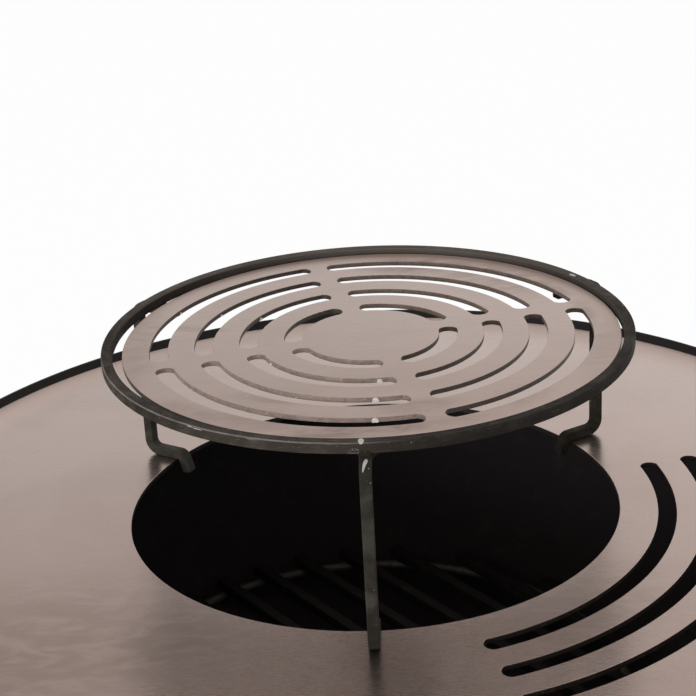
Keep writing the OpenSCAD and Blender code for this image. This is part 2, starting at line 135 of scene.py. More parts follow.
# The sky for light and reflections: how steeply up it is seen, from 0 for level to 1, and its colour
SKY_STOPS = (
    (0.0, (1, 1, 1)), (0.34, (1, 1, 1)), (0.40, (0.93, 0.90, 0.89)), (0.46, (0.72, 0.645, 0.61)),
    (0.51, (0.525, 0.445, 0.412)), (0.58, (0.45, 0.385, 0.36)), (0.8, (0.42, 0.375, 0.35)),
)


def a_length(name, text, size):
    """A length property, its default given in millimetres."""
    return bpy.props.FloatProperty(name=name, description=text, default=size * MM, unit="LENGTH")


def an_angle(name, text, degrees):
    """An angle property, its default given in degrees."""
    return bpy.props.FloatProperty(
        name=name, description=text, default=math.radians(degrees), subtype="ANGLE")


def a_colour(name, text, value):
    """A colour property, in linear light."""
    return bpy.props.FloatVectorProperty(
        name=name, description=text, subtype="COLOR", size=4, min=0, max=1, default=(*value, 1))


class GrillSizes(bpy.types.PropertyGroup):
    """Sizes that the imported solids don't tell by their boxes"""

    bar_round: a_length("Bar rounding", "Corner radius of the stand's square bar", 1.3)
    sheet_round: a_length("Sheet rounding", "Edge radius of the cut plate and disc", 0.45)
    rim_round: a_length("Rim rounding", "Edge radius of the plate's rim", 0.6)
    flange_round: a_length("Flange rounding", "Edge radius of the bowl's flange", 1.0)
    edge_round: a_length("Edge rounding", "Edge radius of the sheet and tube work below the plate", 0.7)
    hole_radius: a_length("Fire hole", "Radius of the hole in the griddle plate", 234.5)
    plate_slot_first: a_length("First plate slot", "Radius of the plate's first slot, at its middle", 278.7)
    plate_slot_step: a_length("Plate slot step", "Step from one slot of the plate to the next", 42.8)
    plate_slot_width: a_length("Plate slot width", "Width of the plate's slots", 17.1)
    plate_slot_margin: a_length(
        "Plate slot margin", "Distance of a slot's end from the quarter's straight edge", 13.8)
    plate_slots: bpy.props.IntProperty(
        name="Plate slots", description="Number of slots in the plate", default=3)
    disc_slot_first: a_length("First disc slot", "Radius of the disc's first slots, at their middle", 72.2)
    disc_slot_step: a_length("Disc slot step", "Step from one ring of slots to the next", 41.6)
    disc_slot_width: a_length("Disc slot width", "Width of the disc's slots", 17.2)
    disc_rib: a_length("Disc rib", "Width of the ribs between the disc's slots", 17.5)
    disc_rings: bpy.props.IntProperty(
        name="Disc slot rings", description="Number of rings of slots in the disc", default=4)
    slot_turn: an_angle("Slot turn", "Direction of the first rib, from the right side", 14)
    slot_nose: bpy.props.FloatProperty(
        name="Slot nose", description="Radius of a slot's round end as a share of its width", default=0.54)
    leg_out: a_length("Leg gap", "Gap between the ring and the standing part of a leg", 18.5)
    leg_tab: a_length("Leg tab", "Length of a leg's tab inside the ring", 17)
    leg_bend: a_length("Leg bend", "Inside radius of a leg's bends", 6)
    hook_drop: a_length("Hook drop", "How far a hook reaches below the plate's top", 15.5)
    hook_play: a_length("Hook play", "Play between a hook and the fire hole's edge", 2)
    hook_lean: an_angle("Hook lean", "How far the hooks lean inwards from upright", 16)
    grate_turn: an_angle(
        "Charcoal bars' turn", "Direction of the charcoal grate's bars, from the right side", -54)
    grate_step: a_length("Charcoal bar step", "Step from bar to bar of the charcoal grate", 47.5)
    grate_over: a_length(
        "Charcoal bar reach", "How far the bars reach past the rod ring's middle line", 13)
    bowl_mouth: a_length("Bowl mouth", "Radius of the bowl's mouth", 410)
    bowl_depth: a_length("Bowl depth", "Depth of the bowl inside", 330)
    bowl_wall: a_length("Bowl wall", "Wall of the bowl", 3)
    chute_radius: a_length("Chute radius", "Inner radius of the ash chute", 67)


class GrillColours(bpy.types.PropertyGroup):
    """Colours of the grill's finishes"""

    plate_light: a_colour("Plate steel", "Ground steel of the griddle plate", (0.490, 0.415, 0.382))
    plate_dark: a_colour("Plate steel shade", "Cloudy darker areas of the plate", (0.385, 0.310, 0.278))
    disc_light: a_colour("Disc steel", "Ground steel of the grate disc", (0.390, 0.312, 0.277))
    disc_dark: a_colour("Disc steel shade", "Cloudy darker areas of the disc", (0.310, 0.240, 0.208))
    stain: a_colour("Heat stain", "Brown stains on the ground steel", (0.200, 0.142, 0.113))
    # The three tones of the slot walls are painted light and shade, by the side the light falls from: lit,
    # half lit and shaded
    slot_wall: a_colour("Slot walls", "Bright walls of the disc's slots", (0.37, 0.295, 0.255))
    slot_brown: a_colour("Browned slot walls", "Walls that the heat turned brown", (0.200, 0.150, 0.124))
    slot_scale: a_colour("Scaled slot walls", "Walls that the cutter left dark", (0.060, 0.045, 0.038))
    slot_rust: a_colour("Slot rust", "Rusty spots on the walls of the disc's slots", (0.30, 0.19, 0.11))
    cut_edge: a_colour("Cut edge", "Outer edge of the disc, walls of the plate", (0.036, 0.027, 0.023))
    mill_dark: a_colour("Mill steel", "Dark skin of the stand's bar", (0.029, 0.0232, 0.0186))
    mill_light: a_colour("Mill steel wear", "Worn lighter patches on the bar", (0.072, 0.059, 0.048))
    # Also laid on the ring's front as painted shade and shadow
    soot: a_colour("Soot", "Sooty bars of the charcoal grate", (0.017, 0.0158, 0.0150))
    paint: a_colour("Black paint", "Matt heat resistant paint", (0.0085, 0.0080, 0.0075))
    # Partly ash and partly a painted highlight on the rod ring
    ashy: a_colour("Ashy steel", "Rod of the charcoal grate, rubbed and ashy", (0.070, 0.066, 0.062))
    burnt: a_colour("Burnt paint", "Paint inside the bowl, dulled by the fire", (0.031, 0.027, 0.028))
    zinc: a_colour("Zinc", "Plated fasteners", (0.56, 0.56, 0.57))
    # Near-white of the painted glints on the slot walls
    bare: a_colour("Bare steel", "Bright spots where a tab was ground off", (0.95, 0.94, 0.92))
    # Painted light on the ring: its inner face, its top towards the back and the left of its front
    painted_light: a_colour("Rubbed bar", "Inside of the ring, where the disc rubs", (0.150, 0.132, 0.116))
    # Pale grey of bright weld marks, and of painted highlights: the front leg's drop and the front edge of
    # the ring
    dressed: a_colour("Dressed weld", "Bright marks where a weld was dressed", (0.50, 0.49, 0.475))
    plastic: a_colour("Knob plastic", "Heat resistant plastic of the knob", (0.016, 0.016, 0.016))
    floor: a_colour("Floor", "Studio floor", (0.88, 0.88, 0.88))


def sizes():
    return bpy.context.scene.grill_sizes


def colours():
    return bpy.context.scene.grill_colours


def fill(tree, node, inputs):
    """Sets a node's inputs, or links them where they are given a socket."""
    for key, value in inputs.items():
        if isinstance(value, bpy.types.NodeSocket):
            tree.links.new(value, node.inputs[key])
        else:
            node.inputs[key].default_value = value


def add_node(tree, kind, inputs=None, **settings):
    """A shader node with its settings and inputs."""
    made = tree.nodes.new("ShaderNode" + kind)
    for key, value in settings.items():
        setattr(made, key, value)
    fill(tree, made, inputs or {})
    return made


def start_material(name):
    """A new material with its node tree, its shader and the place on the object."""
    material = bpy.data.materials.new(name)
    material.use_nodes = True
    tree = material.node_tree
    place = add_node(tree, "TexCoord").outputs["Object"]
    return material, tree, tree.nodes["Principled BSDF"], place


def noise(tree, place, scale, detail=3.0, roughness=0.55, distortion=0.0, stretch=(1, 1, 1), turn=0.0):
    """Noise at a scale given in features per metre, drawn out along the axes."""
    placed = add_node(tree, "Mapping", {
        "Vector": place, "Scale": stretch, "Rotation": (0, 0, turn)})
    return add_node(tree, "TexNoise", {
        "Vector": placed.outputs["Vector"], "Scale": scale, "Detail": detail,
        "Roughness": roughness, "Distortion": distortion}).outputs["Fac"]


def fade(tree, value, start, end, low=0.0, high=1.0):
    """Maps a value from start to end onto low to high, smoothly."""
    return add_node(tree, "MapRange", {
        "Value": value, "From Min": start, "From Max": end, "To Min": low, "To Max": high},
        interpolation_type="SMOOTHSTEP").outputs["Result"]


def combined(tree, operation, values):
    """Several numbers put together, one after the other."""
    total = values[0]
    for value in values[1:]:
        total = add_node(tree, "Math", {0: total, 1: value}, operation=operation).outputs[0]
    return total


def times(tree, *values):
    return combined(tree, "MULTIPLY", values)


def plus(tree, *values):
    return combined(tree, "ADD", values)


def blend(tree, share, first, second):
    """A colour between two others."""
    return add_node(tree, "Mix", {0: share, 6: first, 7: second}, data_type="RGBA").outputs[2]


def coated(tree, base, *coats):
    """A colour with others laid over it, each given as its share and its colour."""
    for share, coat in coats:
        base = blend(tree, share, base, coat)
    return base


def tinted(tone, tint):
    """A colour made stronger or weaker, by one number or by one for each of its parts."""
    parts = tint if isinstance(tint, tuple) else (tint,) * 3
    return tuple(part * value for part, value in zip(parts, tone[:3])) + (1,)


def relief(tree, height, strength, depth):
    return add_node(tree, "Bump", {
        "Height": height, "Strength": strength, "Distance": depth}).outputs["Normal"]


def distance(tree, place, flat=False):
    """How far a place is from the middle, or, where flat, from the upright line through the middle."""
    if flat:
        flatten = add_node(tree, "VectorMath", {0: place, 1: (1, 1, 0)}, operation="MULTIPLY")
        place = flatten.outputs[0]
    return add_node(tree, "VectorMath", {0: place}, operation="LENGTH").outputs["Value"]


def round_spot(tree, place, middle, turn, half_sizes):
    """The place as it is seen from an oval spot, whose edge is then at a distance of one."""
    return add_node(tree, "Mapping", {
        "Vector": place, "Location": middle, "Rotation": (0, 0, turn), "Scale": half_sizes},
        vector_type="TEXTURE").outputs["Vector"]


def heat_stains(tree, place, stains):
    """Soft oval stains laid over each other."""
    spots = []
    for x, y, long, wide, turn, strength in stains:
        laid = round_spot(tree, place, (x * MM, y * MM, 0), math.radians(turn), (long * MM, wide * MM, 1))
        spots.append(fade(tree, distance(tree, laid, flat=True), 0.25, 1.5, strength, 0.0))
    return combined(tree, "MAXIMUM", spots)


def ring_marks(tree, place, marks):
    """Crisp ragged marks on the stand's ring."""
    ragged = times(tree, noise(tree, place, 900.0, 2.0, 0.5), 0.3)
    spots = []
    for turn, radius, depth, along, across, high in marks:
        angle = math.radians(turn)
        middle = polar(RING_MIDDLE, radius * MM, angle)
        middle.z = RING_HIGH.z - depth * MM
        laid = round_spot(tree, place, middle, angle, (along * MM, across * MM, high * MM))
        spots.append(fade(tree, plus(tree, distance(tree, laid), ragged), 1.08, 1.22, 1.0, 0.0))
    return combined(tree, "MAXIMUM", spots)


def ground_steel(name, light, dark, grind_turn, stains, cloud, smear, painted_pale_band, edge):
    """Ground steel, uncoated: faint clouds, heat stains, fine grinding lines, and towards its outer edge
    duller and paler, the paleness being painted light where a dark reflection of the rim or ring would fall.
    """
    material, tree, shader, place = start_material(name)
    stain = colours().stain
    clouds = noise(tree, place, 5.0, 4.0, 0.6, 0.4)
    smears = noise(tree, place, 16.0, 5.0, 0.62, 1.6, (1.0, 2.6, 1.0), grind_turn)
    specks = noise(tree, place, 240.0, 3.0, 0.6)
    lines = noise(tree, place, 60.0, 3.0, 0.7, 0.0, (1.0, 30.0, 1.0), grind_turn)
    away = distance(tree, place, flat=True)
    stained = times(tree, heat_stains(tree, place, stains), fade(tree, smears, 0.34, 0.60, 0.35, 1.0))
    fill(tree, shader, {
        "Base Color": coated(
            tree, light,
            (fade(tree, clouds, 0.38, 0.70, 0.0, cloud), dark),
            (fade(tree, smears, 0.50, 0.80, 0.0, smear), dark),
            (stained, stain),
            (fade(tree, specks, 0.68, 0.80, 0.0, 0.35), stain),
            # Painted light: paler towards the outer edge, in place of the dark reflection of the rim or ring
            (fade(tree, away, *painted_pale_band, 0.0, 0.9), tinted(light, edge))),
        "Metallic": fade(tree, away, *painted_pale_band, 1.0, 0.3),
        "Specular IOR Level": 0.3,
        "Roughness": plus(
            tree, fade(tree, lines, 0.3, 0.7, 0.23, 0.31), fade(tree, away, *painted_pale_band, 0.0, 0.22),
            times(tree, stained, 0.12)),
        "Normal": relief(tree, lines, 0.10, 0.00006)})
    return material


def cut_wall(name, main, spots, metal):
    """The wall that a cutter leaves: mottled, with faint upright drag lines, rust and glints."""
    material, tree, shader, place = start_material(name)
    mottle = noise(tree, place, 190.0, 4.0, 0.65)
    rust = noise(tree, place, 75.0, 4.0, 0.7)
    glints = noise(tree, place, 700.0, 2.0, 0.5)
    lines = noise(tree, place, 420.0, 2.0, 0.6, 0.0, (1.0, 1.0, 0.10))
    fill(tree, shader, {
        "Base Color": coated(
            tree, main,
            (fade(tree, mottle, 0.40, 0.70, 0.0, 0.8), tinted(main, 0.62)),
            (fade(tree, rust, 0.56, 0.70, 0.0, spots), colours().slot_rust),
            (fade(tree, glints, 0.66, 0.71, 0.0, spots), colours().bare)),
        "Metallic": metal,
        "Roughness": 0.5,
        "Normal": relief(tree, lines, 0.3, 0.00015)})
    return material


def ring_wear(tree, place, skin, specks, marks):
    """The stand's ring with rolling marks, weld spatter and bright marks, and painted light and shade: a lit
    inner face and a lit top towards the back, a lit left and a shaded right on the front's outer face, a
    painted shadow along the front's inner top edge and a painted highlight along its outer top edge.
    """
    look = colours()
    from_middle = add_node(tree, "VectorMath", {
        0: place, 1: (RING_MIDDLE.x, RING_MIDDLE.y, 0)}, operation="SUBTRACT").outputs[0]
    parts = add_node(tree, "SeparateXYZ", {"Vector": from_middle}).outputs
    right, back, height = parts["X"], parts["Y"], parts["Z"]
    away = distance(tree, from_middle, flat=True)
    turn = add_node(tree, "Math", {0: back, 1: right}, operation="ARCTAN2").outputs[0]
    laid = add_node(tree, "CombineXYZ", {
        "X": times(tree, turn, RING_RADIUS / 14.0), "Y": away, "Z": height}).outputs[0]
    rolled = noise(tree, laid, 900.0, 3.0, 0.6)

    def near(value, edge, start, stop, low=0.0, high=1.0):
        """A fade between two distances from an edge, given in mm."""
        return fade(tree, value, edge + start * MM, edge + stop * MM, low, high)

    inner = RING_RADIUS - BAR + 0.6 * MM
    front = fade(tree, back, -0.08, 0.0, 1.0, 0.0)
    top = near(height, RING_HIGH.z, -1.6, -0.7)
    # Painted light on the inner face: lighter towards its top, and by its side from dark to light
    painted_light = times(tree, near(away, inner, -0.3, 0, 1.0, 0.0),
                   fade(tree, height, RING_LOW.z, RING_HIGH.z, 0.35, 1.0))
    shine = times(tree, fade(tree, right, -0.23, 0.02, 0.06, 0.76), fade(tree, right, 0.09, 0.22, 1.0, 0.4))
    outer_face = times(tree, front, near(away, inner, 1.2, 2.4))
    # Painted light on the left of the front's outer face
    lighter = times(tree, outer_face, fade(tree, right, -0.02, 0.05, 0.14, 0.0),
                    fade(tree, right, -0.20, -0.13))
    # Painted highlight along the front's outer top edge, on the left
    corner = times(tree, near(away, RING_RADIUS, -1.4, -0.5), near(height, RING_HIGH.z, -1.4, -0.5),
                   front, fade(tree, right, -0.06, 0.04, 1.0, 0.0))
    spatter = times(tree, ring_marks(tree, place, SPATTER), fade(tree, specks, 0.50, 0.58), 0.3)
    return coated(
        tree, skin,
        (fade(tree, rolled, 0.30, 0.46, 0.6, 0.0), look.soot),
        (fade(tree, rolled, 0.62, 0.74, 0.0, 0.25), look.dressed),
        # Painted light on the inner face
        (painted_light, blend(tree, shine, look.soot, look.painted_light)),
        # Painted light on the left of the front's outer face
        (lighter, look.painted_light),
        # Painted shade on the right of the front's outer face
        (times(tree, outer_face, fade(tree, right, -0.02, 0.05, 0.0, 0.5)), look.soot),
        # Painted shadow along the front's inner top edge, in the gap by the disc
        (times(tree, near(away, inner, 0, 2.4, 1.0, 0.0), top, front), look.soot),
        # Painted light: the top face lighter towards the back
        (times(tree, top, fade(tree, back, 0.0, 0.15, 0.0, 0.38)), look.painted_light),
        # Painted highlight along the front's outer top edge
        (times(tree, corner, fade(tree, rolled, 0.3, 0.6, 0.1, 0.38)), look.dressed),
        (spatter, look.dressed),
        (ring_marks(tree, place, marks), look.dressed))


def mill_steel(name, tint, marks=()):
    """Rolled bar with its dark skin, worn lighter in patches, with small bright specks."""
    material, tree, shader, place = start_material(name)
    look = colours()
    wear = noise(tree, place, 26.0, 6.0, 0.68, 0.5)
    pits = noise(tree, place, 900.0, 4.0, 0.7)
    specks = noise(tree, place, 620.0, 2.0, 0.5)
    skin = coated(
        tree, tinted(look.mill_dark, tint),
        (fade(tree, wear, 0.42, 0.72), tinted(look.mill_light, tint)),
        (fade(tree, specks, 0.70, 0.78, 0.0, 0.7), look.zinc))
    fill(tree, shader, {
        "Base Color": ring_wear(tree, place, skin, specks, marks) if marks else skin,
        "Metallic": 0.1,
        "Specular IOR Level": 0.05,
        "Roughness": fade(tree, wear, 0.3, 0.75, 0.70, 0.56),
        "Normal": relief(tree, pits, 0.35, 0.00035)})
    return material


def mottled(name, main, change, patches, spread, rough, bumps, grain=None, share=1.0, metal=0.0, gloss=0.5):
    """One colour with patches of another shade; patches and grain are what noise is told."""
    material, tree, shader, place = start_material(name)
    pattern = noise(tree, place, *patches)
    fine = noise(tree, place, *grain) if grain else pattern
    fill(tree, shader, {
        "Base Color": blend(tree, fade(tree, pattern, *spread, 0.0, share), main, tinted(main, change)),
        "Metallic": metal,
        "Specular IOR Level": gloss,
        "Roughness": fade(tree, pattern, 0.3, 0.7, *rough) if isinstance(rough, tuple) else rough,
        "Normal": relief(tree, fine, *bumps)})
    return material


def sooty_steel(name, main, ash_share, gloss):
    """Steel or paint blackened by the fire, with a little pale ash caught on it."""
    return mottled(name, main, 2.2, (40.0, 5.0, 0.7), (0.50, 0.75), (0.72, 0.88), (0.4, 0.0005),
                   (350.0, 4.0, 0.7), share=ash_share, gloss=gloss)


def black_paint(name, main):
    """Matt heat resistant paint with a fine orange peel."""
    return mottled(name, main, 1.5, (9.0, 5.0, 0.6), (0.45, 0.75), (0.52, 0.66), (0.25, 0.0003),
                   (520.0, 2.0, 0.5), gloss=0.25)


def zinc(name, main):
    """Zinc plated steel, faintly mottled."""
    return mottled(name, main, 0.72, (160.0, 3.0, 0.5), (0.35, 0.7), (0.28, 0.42), (0.08, 0.0002), metal=1.0)


def bare_spot(name, main):
    """Pale mottled steel, for painted highlights."""
    return mottled(name, main, 0.8, (1500.0, 2.0, 0.5), (0.4, 0.7), 0.45, (0.3, 0.0002), metal=0.1)


def knob_plastic(name, main):
    """Dull moulded plastic."""
    return mottled(name, main, 1.6, (1800.0, 2.0, 0.5), (0.4, 0.8), 0.42, (0.2, 0.0002))


# Each finish's maker and what it is told, where a text is the name of a colour
FINISHES = {
    # After the stains and shades: where the painted pale band by the outer edge starts and ends, and how
    # much paler it is
    "plate_steel": (
        ground_steel, "plate_light", "plate_dark", 0.35, PLATE_STAINS, 0.35, 0.12, (0.440, 0.490), 1.58),
    "disc_steel": (
        ground_steel, "disc_light", "disc_dark", -0.55, DISC_STAINS, 0.40, 0.28, (0.205, 0.255), 1.35),
    # Lit, half lit and shaded copies of one cut wall, painted light and shade
    "slot_wall": (cut_wall, "slot_wall", 0.6, 0.45),
    "slot_brown": (cut_wall, "slot_brown", 0.25, 0.3),
    "slot_scale": (cut_wall, "slot_scale", 0.08, 0.1),
    "cut_edge": (cut_wall, "cut_edge", 0.15, 0.6),
    # The rod ring lighter than the bars: ash and a painted highlight
    "ashy_rod": (cut_wall, "ashy", 0.2, 0.1),
    "mill_steel": (mill_steel, (1, 1, 1)),
    "ring_steel": (mill_steel, (1, 1.01, 1.01), RING_MARKS),
    "leg_steel": (mill_steel, (0.93, 1.07, 1.10)),
    # A darker copy of the leg steel: painted shade on the right leg
    "dark_leg_steel": (mill_steel, (0.53, 0.55, 0.50)),
    "sooty_steel": (sooty_steel, "soot", 1.0, 0.12),
    "burnt_paint": (sooty_steel, "burnt", 0.25, 0.03),
    "black_paint": (black_paint, "paint"),
    "bright_steel": (zinc, "zinc"),
    # Painted glints on the slot walls
    "bare_spot": (bare_spot, "bare"),
    # The front leg's drop, a painted highlight
    "dressed_weld": (bare_spot, "dressed"),
    "knob_plastic": (knob_plastic, "plastic"),
}
MATERIALS = {}


def finish(name):
    """The finish of that name, made once."""
    if name not in MATERIALS:
        maker, *told = FINISHES[name]
        told = [getattr(colours(), item) if isinstance(item, str) else item for item in told]
        MATERIALS[name] = maker(name, *told)
    return MATERIALS[name]


def is_wall(face):
    """True for the upright faces of a sheet and its lower lips."""
    return -0.9 < face.normal.z < 0.5


def add_object(name, data):
    """A new object in the scene."""
    made = bpy.data.objects.new(name, data)
    bpy.context.scene.collection.objects.link(made)
    return made


def add_piece(bm, name, body, look, nodes=(), sharp=SHARP, wall_look=None):
    """Makes an object of a bmesh, gives it its finish and its body, and hides the nodes it stands for."""
    bmesh.ops.remove_doubles(bm, verts=bm.verts, dist=MERGE)
    bmesh.ops.recalc_face_normals(bm, faces=bm.faces)
    bm.normal_update()
    looks = [look]
    for face in bm.faces:
        face.smooth = True
        wall = (wall_look and wall_look(face)) or look
        if wall not in looks:
            looks.append(wall)
        face.material_index = looks.index(wall)
    mesh = bpy.data.meshes.new(name)
    bm.to_mesh(mesh)
    bm.free()
    for item in looks:
        mesh.materials.append(finish(item))
    mesh.set_sharp_from_angle(angle=math.radians(sharp))
    piece = add_object(name, mesh)
    weighted = piece.modifiers.new("Flat faces stay flat", "WEIGHTED_NORMAL")
    weighted.keep_sharp = True
    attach(piece, body)
    if nodes:
        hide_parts(*nodes)


def round_off(bm, geom, rounding, segments, affect="EDGES"):
    """Rounds edges or corners off."""
    bmesh.ops.bevel(
        bm, geom=geom, offset=rounding, offset_type="OFFSET", affect=affect, segments=segments,
        profile=0.5, material=-1, clamp_overlap=True)


def spin_round(bm, middle, steps):
    """Turns an outline into a whole round about an upright line."""
    bmesh.ops.spin(
        bm, geom=bm.verts[:] + bm.edges[:], cent=middle, axis=(0, 0, 1), angle=2 * math.pi, steps=steps,
        use_merge=True)


def rounded_section(bm, low, high, rounding):
    """A rounded rectangle of the XZ plane between two corners, as one face."""
    corners = [bm.verts.new((x, 0, z)) for x, z in (
        (low[0], low[1]), (high[0], low[1]), (high[0], high[1]), (low[0], high[1]))]
    bm.faces.new(corners)
    round_off(bm, corners, rounding, 4, "VERTICES")
    return bm.faces[:][-1]


def hoop(bm, middle, inner, outer, low, high, rounding, steps):
    """A ring of rounded rectangular section about an upright line."""
    rounded_section(bm, (middle.x + inner, low), (middle.x + outer, high), rounding)
    bmesh.ops.delete(bm, geom=bm.faces[:], context="FACES_ONLY")
    spin_round(bm, (middle.x, middle.y, 0), steps)


def first_face(items):
    return next(item for item in items if isinstance(item, bmesh.types.BMFace))


def extruded(bm, face):
    """A face's twin at its end, joined to it by new walls."""
    return first_face(bmesh.ops.extrude_face_region(bm, geom=[face])["geom"])


def straight(bm, face, move):
    """Runs a bar's end face on along a line."""
    face = extruded(bm, face)
    bmesh.ops.translate(bm, verts=face.verts[:], vec=move)
    return face


def bend(bm, face, centre, axis, angle):
    """Runs a bar's end face on round a bend."""
    return first_face(bmesh.ops.spin(
        bm, geom=[face], cent=centre, axis=axis, angle=angle, steps=10, use_merge=False)["geom_last"])


def weld_fillet(bm, place, run, width, height, steps=8):
    """A hollow fillet of weld metal in a corner: out along X, down Z, and along Y for its run."""
    bury = 1.4 * MM
    lip = 0.3 * bury
    hollow = 1.7
    narrow = 0.65
    corner = [(-bury, lip), (width, lip)]
    corner += [(width * (1 - i / steps), -height * (i / steps) ** hollow) for i in range(steps + 1)]
    corner.append((-bury, -height))
    face = bm.faces.new([bm.verts.new((narrow * x, 0, narrow * z)) for x, z in corner])
    made = face.verts[:]
    for share, grow in ((0.12, 1 / narrow), (0.76, 1.0), (0.12, narrow)):
        face = extruded(bm, face)
        step = Matrix.Translation((0, share * run, 0)) @ Matrix.Diagonal((grow, 1, grow, 1))
        bmesh.ops.transform(bm, matrix=step, verts=face.verts[:])
        made += face.verts[:]
    bmesh.ops.transform(bm, matrix=place, verts=made)


def turned_at(place, turn):
    """Moves to a place after a turn about the upright line."""
    return Matrix.Translation(place) @ Matrix.Rotation(turn, 4, "Z")


def polar(centre, radius, angle):
    return centre + radius * Vector((math.cos(angle), math.sin(angle), 0))


def arc_points(centre, radius, start, end, steps):
    return [polar(centre, radius, start + (end - start) * i / steps) for i in range(steps + 1)]


def circle_points(centre, radius):
    return arc_points(centre, radius, 0, 2 * math.pi, PLATE_STEPS)[:-1]


def slot_points(centre, radius, width, turn, margin, nose_share):
    """The outline of a slot along a quarter's arc, round at its ends."""
    nose = nose_share * width
    off = math.asin((margin + nose) / radius)
    start, end = turn + off, turn + QUARTER - off
    half = math.asin(width / 2 / nose)
    tuck = (nose * math.cos(half)) / radius
    steps = max(8, round(radius * (end - start) / (6 * MM)))

    def round_end(angle, out):
        """Points of a slot's end, between those of its two sides."""
        return arc_points(polar(centre, radius, angle), nose, out - half, out + half, 14)[1:-1]

    outside = arc_points(centre, radius + width / 2, start - tuck, end + tuck, steps)
    inside = arc_points(centre, radius - width / 2, end + tuck, start - tuck, steps)
    return outside + round_end(end, end + QUARTER) + inside + round_end(start, start - QUARTER)


def cut_sheet(name, outlines, low, high, rounding):
    """A sheet with holes, cut along flat outlines, with rounded edges."""
    curve = bpy.data.curves.new(name, "CURVE")
    curve.dimensions = "2D"
    curve.fill_mode = "BOTH"
    curve.extrude = (high - low) / 2 - rounding
    curve.bevel_depth = rounding
    curve.bevel_resolution = 2
    curve.offset = -rounding
    for outline in outlines:
        spline = curve.splines.new("POLY")
        spline.points.add(len(outline) - 1)
        for point, place in zip(spline.points, outline):
            point.co = (place.x, place.y, 0, 1)
        spline.use_cyclic_u = True
    holder = add_object(name, curve)
    graph = bpy.context.evaluated_depsgraph_get()
    mesh = bpy.data.meshes.new_from_object(holder.evaluated_get(graph))
    bm = bmesh.new()
    bm.from_mesh(mesh)
    bpy.data.objects.remove(holder)
    bpy.data.curves.remove(curve)
    bpy.data.meshes.remove(mesh)
    bmesh.ops.translate(bm, verts=bm.verts, vec=(0, 0, (low + high) / 2))
    return bm


def dress(body, look, *nodes, rounding=None, segments=2):
    """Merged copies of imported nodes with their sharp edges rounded, which stand for the nodes."""
    flat = math.radians(0.5)
    sharp = math.radians(35)
    for node in nodes:
        bm = bmesh.new()
        bm.from_mesh(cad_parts[node].data)
        bmesh.ops.remove_doubles(bm, verts=bm.verts, dist=MERGE)
        bmesh.ops.dissolve_limit(bm, angle_limit=flat, verts=bm.verts, edges=bm.edges)
        edges = [e for e in bm.edges if len(e.link_faces) == 2 and e.calc_face_angle(0) > sharp]
        round_off(bm, edges, rounding or sizes().edge_round, segments)
        add_piece(bm, node + "_dressed", body, look, (node,))


class GRILL_OT_griddle(bpy.types.Operator):
    """Build the griddle plate with its fire hole, slots and rim"""

    bl_idname = "grill.griddle"
    bl_label = "Griddle plate"

    def execute(self, context):
        size = sizes()
        outlines = [circle_points(ORIGIN, PLATE_RADIUS), circle_points(ORIGIN, size.hole_radius)]
        for i in range(size.plate_slots):
            outlines.append(slot_points(
                ORIGIN, size.plate_slot_first + i * size.plate_slot_step, size.plate_slot_width,
                size.slot_turn - QUARTER, size.plate_slot_margin, size.slot_nose))
        bm = cut_sheet("griddle", outlines, PLATE_LOW.z, PLATE_HIGH.z, size.sheet_round)
        add_piece(bm, "griddle_top", "griddle", "plate_steel", ("griddle_plate",), SHEET_SHARP,
                  lambda face: "cut_edge" if is_wall(face) else None)
        bm = bmesh.new()
        outer = min(RIM_HIGH.x, RIM_HIGH.y, -RIM_LOW.x, -RIM_LOW.y)
        hoop(bm, ORIGIN, PLATE_RADIUS, outer, RIM_LOW.z, RIM_HIGH.z, size.rim_round, PLATE_STEPS)
        add_piece(bm, "griddle_rim", "griddle", "black_paint", ("plate_rim",))
        dress("griddle", "mill_steel", "plate_lugs")
        return {"FINISHED"}


